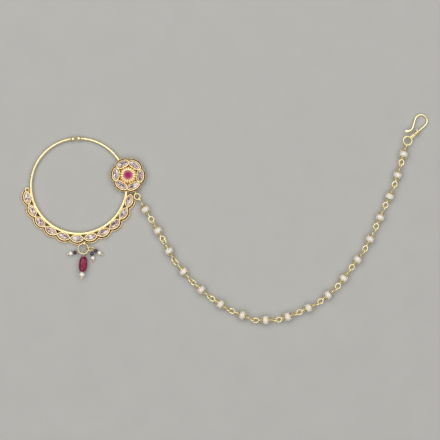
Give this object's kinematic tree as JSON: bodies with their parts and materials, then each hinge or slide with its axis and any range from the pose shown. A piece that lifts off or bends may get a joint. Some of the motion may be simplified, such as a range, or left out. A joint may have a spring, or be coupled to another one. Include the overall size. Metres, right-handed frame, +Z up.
{
  "type": "nose ring",
  "caption": "Nath nose ring: a hoop with a crescent of set stones, a flower, small drops and a chain of crystal beads that ends in a hook, lying flat.",
  "frame": {"origin": "centre of the bounding box in plan, on the surface that the piece lies on", "axes": "+X from the hoop towards the hook, +Y from the drops towards the hoop's open end, +Z up out of the surface, on the side where the stones show"},
  "size_m": [0.1836, 0.0952, 0.005],
  "materials": {
    "gold": "polished warm gold plate",
    "clear_stone": "clear and pale mauve cut stone over foil",
    "ruby": "polished deep pink red",
    "crystal_bead": "milky crystal with polished gold caps and loops",
    "garnet": "polished dark purple",
    "pearl": "white pearl lustre"
  },
  "bodies": {
    "root": {"nose_hoop": "gold", "crescent_stone_01": "clear_stone", "crescent_stone_02": "clear_stone", "crescent_stone_03": "clear_stone", "crescent_stone_04": "clear_stone", "crescent_stone_05": "clear_stone", "crescent_stone_06": "clear_stone", "crescent_stone_07": "clear_stone", "crescent_stone_08": "clear_stone", "crescent_stone_09": "clear_stone", "crescent_stone_10": "clear_stone", "crescent_stone_11": "clear_stone", "petal_stone_1": "clear_stone", "petal_stone_2": "clear_stone", "petal_stone_3": "clear_stone", "petal_stone_4": "clear_stone", "petal_stone_5": "clear_stone", "petal_stone_6": "clear_stone", "flower_ruby": "ruby", "chain_ring": "gold", "bead_link_01": "crystal_bead", "bead_link_02": "crystal_bead", "bead_link_03": "crystal_bead", "bead_link_04": "crystal_bead", "bead_link_05": "crystal_bead", "bead_link_06": "crystal_bead", "bead_link_07": "crystal_bead", "bead_link_08": "crystal_bead", "bead_link_09": "crystal_bead", "bead_link_10": "crystal_bead", "bead_link_11": "crystal_bead", "bead_link_12": "crystal_bead", "bead_link_13": "crystal_bead", "bead_link_14": "crystal_bead", "bead_link_15": "crystal_bead", "bead_link_16": "crystal_bead", "bead_link_17": "crystal_bead", "bead_link_18": "crystal_bead", "hook_ring": "gold", "hook": "gold", "drop_ring": "gold", "side_drop_ring": "gold", "ruby_drop_pin": "gold", "ruby_drop_bead": "ruby", "ruby_drop_pearl": "pearl", "left_drop_pin": "gold", "left_drop_garnet": "garnet", "left_drop_pearl": "pearl", "right_drop_pin": "gold", "right_drop_garnet": "garnet", "right_drop_pearl": "pearl", "lower_drop_pin": "gold", "lower_drop_garnet": "garnet", "lower_drop_pearl": "pearl"}
  },
  "joints": []
}
